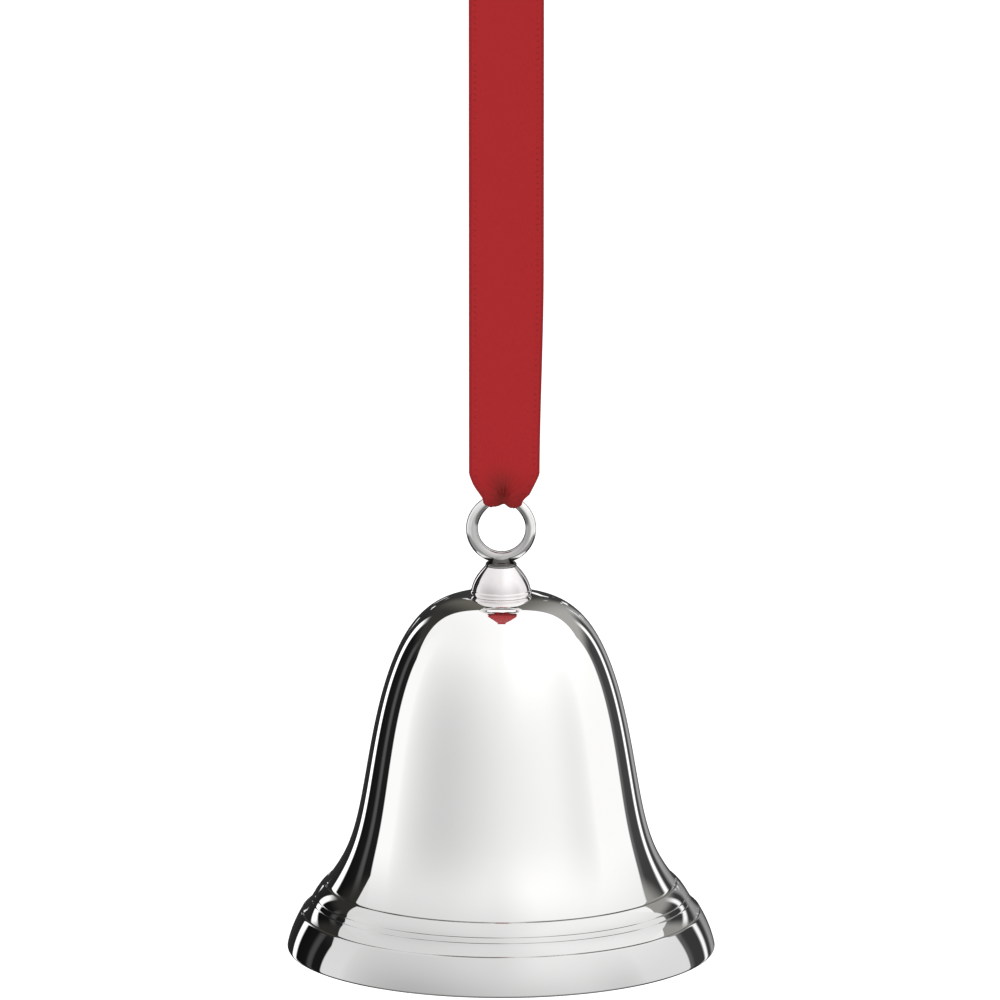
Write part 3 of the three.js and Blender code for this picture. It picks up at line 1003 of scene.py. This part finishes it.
def cloth_row(surface, length, us, satin_side, mark):
    """The points round the strip at one length: the front, the right edge, the back and the left edge. Each
    comes with its place on the flat ribbon."""
    half, step_u, step_l = CLOTH / 2, 0.004, 0.02
    front, back, ends = [], [], []
    for u in us:
        here = surface(u, length)
        across = surface(u + step_u, length) - surface(u - step_u, length)
        down = surface(u, length + step_l) - surface(u, length - step_l)
        normal = across.cross(down).normalized()
        thick = half * (1 + CORDED * smooth(abs(u), 0.93, 0.965))
        flat = (u * RIBBON_WIDTH / 2, mark + length)
        front.append((here + normal * thick, (*flat, float(satin_side > 0))))
        back.append((here - normal * thick, (*flat, float(satin_side < 0))))
    for u in (1.0, -1.0):
        here = surface(u, length)
        out = (here - surface(u - u * step_u, length)).normalized()
        ends.append((here + out * half * 1.2, (u * RIBBON_WIDTH / 2, mark + length, 0.5)))
    return front + [ends[0]] + back[::-1] + [ends[1]]


def cloth_end(base, across, order):
    """The faces that close the strip's end, from the row of points that starts at base."""
    loop = [base + j for j in range(2 * across + 2)]
    faces = []
    for j in range(across - 1):
        facing = 2 * across - j
        faces.append((loop[j], loop[j + 1], loop[facing - 1], loop[facing]))
    faces.append((loop[across - 1], loop[across], loop[across + 1]))
    faces.append((loop[2 * across], loop[2 * across + 1], loop[0]))
    return [face[::order] for face in faces]


def cloth_strip(name, surface, start, end, steps, columns, material, satin_side=1, mark=0.0):
    """A woven strip as one closed body: surface(u, length) is its middle, thick at the corded edges. The
    cloth attribute keeps each point's place on the flat ribbon, counted from mark."""
    us = column_places(columns)
    points, places = [], []
    for i in range(steps + 1):
        row = cloth_row(surface, mixed(i / steps, start, end), us, satin_side, mark)
        points += [tuple(point) for point, _ in row]
        places += [flat for _, flat in row]
    count = 2 * len(us) + 2
    faces = skin(steps + 1, count, closed=False)
    faces += cloth_end(0, len(us), -1) + cloth_end(steps * count, len(us), 1)
    piece = mesh_piece(name, points, faces, material, sharp=75)
    keep_places(piece, places)
    return piece


def make_fold(satin):
    reach = QUARTER + JOIN
    fold = cloth_strip("ribbon_fold", ribbon_point, -reach, reach, 120, 72, satin, satin_side=-1)
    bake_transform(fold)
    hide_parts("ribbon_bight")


SEAM_LIFT = 0.2


def make_strands(satin):
    top_length = QUARTER + STRAND_TOP + SEAM_LIFT - ring_centre_line(0)[2]
    pieces = (("ribbon_front", -1, "ribbon_front_strand"), ("ribbon_back", 1, "ribbon_back_strand"))
    for name, side, node in pieces:
        ends = sorted((side * (QUARTER + JOIN), side * top_length))
        strand = cloth_strip(name, ribbon_point, *ends, 220, 72, satin, satin_side=-1)
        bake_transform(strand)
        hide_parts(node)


# The top loop: a straight seam where both layers are sewn together, two slanting runs, and an arc.
LOOP_RADIUS = 3.75
SEAM_LENGTH = 5.2
SEAM_HALF_GAP = 0.34
SEAM_TOP = STRAND_TOP + SEAM_LIFT + SEAM_LENGTH
LOOP_CENTRE = LOOP_TOP - LOOP_RADIUS - 0.45
LOOP_ARC = math.pi / 2 * LOOP_RADIUS
LOOP_SLANT = math.hypot(LOOP_CENTRE - SEAM_TOP, LOOP_RADIUS - SEAM_HALF_GAP)


def loop_point(u, length):
    """The middle of the top loop's cloth: length is counted from its top, negative in front."""
    side = -1 if length < 0 else 1
    run = abs(length)
    if run < LOOP_ARC:
        angle = run / LOOP_RADIUS
        y, height = side * LOOP_RADIUS * math.sin(angle), LOOP_CENTRE + LOOP_RADIUS * math.cos(angle)
    elif run < LOOP_ARC + LOOP_SLANT:
        t = (run - LOOP_ARC) / LOOP_SLANT
        y = side * mixed(smooth(t, 0.0, 1.15) / smooth(1, 0.0, 1.15), LOOP_RADIUS, SEAM_HALF_GAP)
        height = LOOP_CENTRE - (LOOP_CENTRE - SEAM_TOP) * t
    else:
        y, height = side * SEAM_HALF_GAP, SEAM_TOP - (run - LOOP_ARC - LOOP_SLANT)
    return Vector((UPPER_SHIFT + u * RIBBON_WIDTH / 2, y, height))


def make_loop(satin):
    half_length = LOOP_ARC + LOOP_SLANT + SEAM_LENGTH
    loop = cloth_strip("ribbon_loop", loop_point, -half_length, half_length, 150, 48, satin, mark=100.0)
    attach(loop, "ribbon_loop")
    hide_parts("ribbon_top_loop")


def make_stitches(thread):
    """A zigzag bar of thread on the front of the seam."""
    width, stitches, wire, seam_front = 7.0, 22, 0.13, 0.46
    middle = (STITCH_BOTTOM + STITCH_TOP) / 2
    height = STITCH_TOP - STITCH_BOTTOM - 2 * wire
    spine = []
    per_stitch = 6
    for i in range(stitches * per_stitch + 1):
        t = i / per_stitch
        zig = abs((t % 2) - 1) * 2 - 1
        x = UPPER_SHIFT - width / 2 + wire + (width - 2 * wire) * t / stitches
        y = -seam_front - wire * 0.6 - 0.05 * math.cos(math.pi * zig)
        spine.append((x, y, middle + height / 2 * zig))
    frames = []
    for i in range(len(spine)):
        a, b = spine[max(0, i - 1)], spine[min(len(spine) - 1, i + 1)]
        run = Vector(b) - Vector(a)
        side = run.cross(Vector((0, 1, 0))).normalized()
        frames.append((tuple(side), tuple(run.cross(side).normalized())))
    bar = swept("bar_tack", spine, frames, [circle(wire, 10)] * len(spine), thread)
    keep_places(bar, [(v.co.x / MM, v.co.z / MM, 0.0) for v in bar.data.vertices])
    return stands_for(bar, "ribbon_loop", "thread", "ribbon_stitching")


# ---- The whole ----
def make_object():
    silver, cast, inside, steel = polished_silver(), cast_silver(), spun_silver(), turned_steel()
    satin, thread = satin_ribbon(), sewing_thread()
    make_shell(silver, inside)
    make_knob(knob_silver())
    make_ring(cast)
    make_washer(steel)
    make_nut(steel)
    make_eye(silver)
    make_jump_ring(silver)
    make_stem(silver)
    make_ball(silver)
    make_fold(satin)
    make_strands(satin)
    make_loop(satin)
    make_stitches(thread)


bpy.context.scene.view_settings.view_transform = "Standard"
make_world()
make_floor()
make_lights()
make_object()
